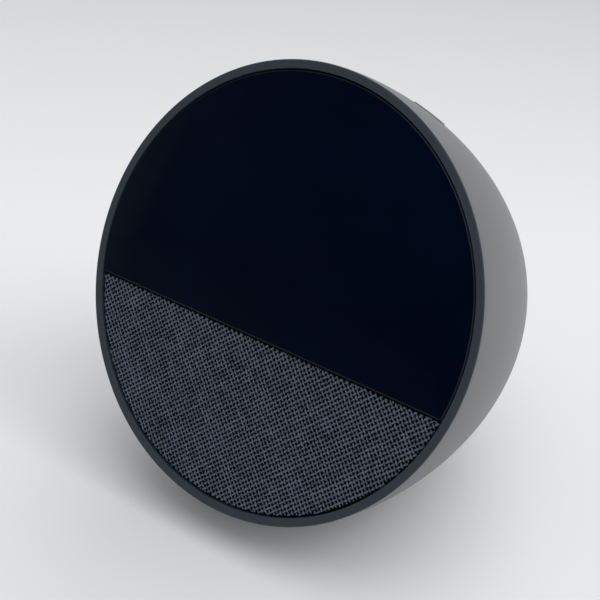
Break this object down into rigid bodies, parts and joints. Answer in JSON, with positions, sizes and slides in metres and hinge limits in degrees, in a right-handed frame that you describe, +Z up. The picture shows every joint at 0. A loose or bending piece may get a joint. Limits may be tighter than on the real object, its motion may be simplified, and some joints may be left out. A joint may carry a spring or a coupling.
{
  "type": "smart speaker",
  "caption": "Bedside smart speaker: a smooth dome shell with a tilted round face, half black glass over a display and half woven cloth over a loudspeaker, with press keys on top.",
  "frame": {"origin": "middle of the bounding box base, on the surface the foot stands on", "axes": "+Z up; the round face looks towards -Y and leans back, so its normal is (0, -cos 26, sin 26); +X is the right-hand side of someone looking at the face"},
  "size_m": [0.113, 0.1026, 0.111],
  "materials": {
    "shell_plastic": "satin moulded, mid grey",
    "foot_rubber": "matt",
    "cover_glass": "black-backed, polished",
    "black_tape": "matt foam tape",
    "touch_film": "clear film",
    "lcd_glass": "dark polished",
    "backlight_frame": "white moulding",
    "stamped_steel": "plated sheet",
    "screw_steel": "plated",
    "flex_film": "amber film",
    "chip_black": "moulded epoxy",
    "woven_cloth": "open plain weave, heathered charcoal",
    "grille_plastic": "black moulding",
    "chassis_plastic": "black moulding",
    "foam_gasket": "closed-cell foam",
    "basket_plastic": "glass-filled moulding",
    "surround_rubber": "matt",
    "cone_paper": "pressed pulp",
    "dust_cap_fabric": "treated cloth",
    "coil_copper": "enamelled winding",
    "spider_cloth": "varnished cotton",
    "plated_steel": "zinc plated",
    "ferrite": "sintered",
    "contact_brass": "tinned",
    "enclosure_plastic": "moulded",
    "circuit_board": "solder mask over glass laminate",
    "connector_nylon": "natural nylon",
    "thermal_pad": "soft pad",
    "heat_sink": "extruded",
    "antenna_board": "laminate",
    "button_plastic": "satin moulded, mid grey",
    "plunger_plastic": "moulded",
    "jack_plastic": "moulded",
    "red_wire": "insulation",
    "grey_wire": "insulation"
  },
  "bodies": {
    "body": {"dome_shell": "shell_plastic", "foot_pad": "foot_rubber", "cover_glass": "cover_glass", "glass_tape": "black_tape", "touch_sensor": "touch_film", "lcd_panel": "lcd_glass", "backlight": "backlight_frame", "display_bracket": "stamped_steel", "bracket_screws": "screw_steel", "display_flex": "flex_film", "light_sensor": "chip_black", "grille_cloth": "woven_cloth", "grille_plate": "grille_plastic", "chassis": "chassis_plastic", "chassis_screws": "screw_steel", "driver_gasket": "foam_gasket", "driver_basket": "basket_plastic", "driver_screws": "screw_steel", "surround": "surround_rubber", "spider": "spider_cloth", "top_plate": "plated_steel", "magnet": "ferrite", "yoke": "plated_steel", "driver_terminals": "contact_brass", "enclosure_gasket": "foam_gasket", "speaker_enclosure": "enclosure_plastic", "enclosure_screws": "screw_steel", "main_board": "circuit_board", "board_chips": "chip_black", "board_connectors": "connector_nylon", "soc_shield": "stamped_steel", "thermal_pad": "thermal_pad", "heat_sink": "heat_sink", "sink_screws": "screw_steel", "board_screws": "screw_steel", "antenna_left": "antenna_board", "antenna_right": "antenna_board", "switch_bodies": "stamped_steel", "button_flex": "flex_film", "microphones": "contact_brass", "mic_boots": "surround_rubber", "button_carrier": "chassis_plastic", "carrier_screws": "screw_steel", "power_jack": "jack_plastic", "jack_pin": "contact_brass", "jack_contacts": "contact_brass", "jack_bracket": "chassis_plastic", "jack_screws": "screw_steel", "power_leads": "red_wire", "speaker_leads": "grey_wire"},
    "volume_down_key": {"volume_down_button": "button_plastic", "volume_down_plunger": "plunger_plastic"},
    "mute_key": {"mute_button": "button_plastic", "mute_plunger": "plunger_plastic"},
    "volume_up_key": {"volume_up_button": "button_plastic", "volume_up_plunger": "plunger_plastic"},
    "cone_assembly": {"cone": "cone_paper", "dust_cap": "dust_cap_fabric", "voice_coil": "coil_copper"}
  },
  "joints": [
    {"name": "volume_down_press", "type": "slide", "parent": "body", "child": "volume_down_key", "axis": [0.2953, -0.5832, -0.7567], "range_m": [0, 0.00035], "stiffness_N_per_m": 900, "springref_m": -0.0004},
    {"name": "mute_press", "type": "slide", "parent": "body", "child": "mute_key", "axis": [0, -0.6032, -0.7976], "range_m": [0, 0.00035], "stiffness_N_per_m": 900, "springref_m": -0.0004},
    {"name": "volume_up_press", "type": "slide", "parent": "body", "child": "volume_up_key", "axis": [-0.2953, -0.5832, -0.7567], "range_m": [0, 0.00035], "stiffness_N_per_m": 900, "springref_m": -0.0004},
    {"name": "cone_stroke", "type": "slide", "parent": "body", "child": "cone_assembly", "axis": [0, -0.8988, 0.4384], "range_m": [-0.0015, 0.0015], "stiffness_N_per_m": 1500, "deforming": ["surround", "spider"]}
  ]
}
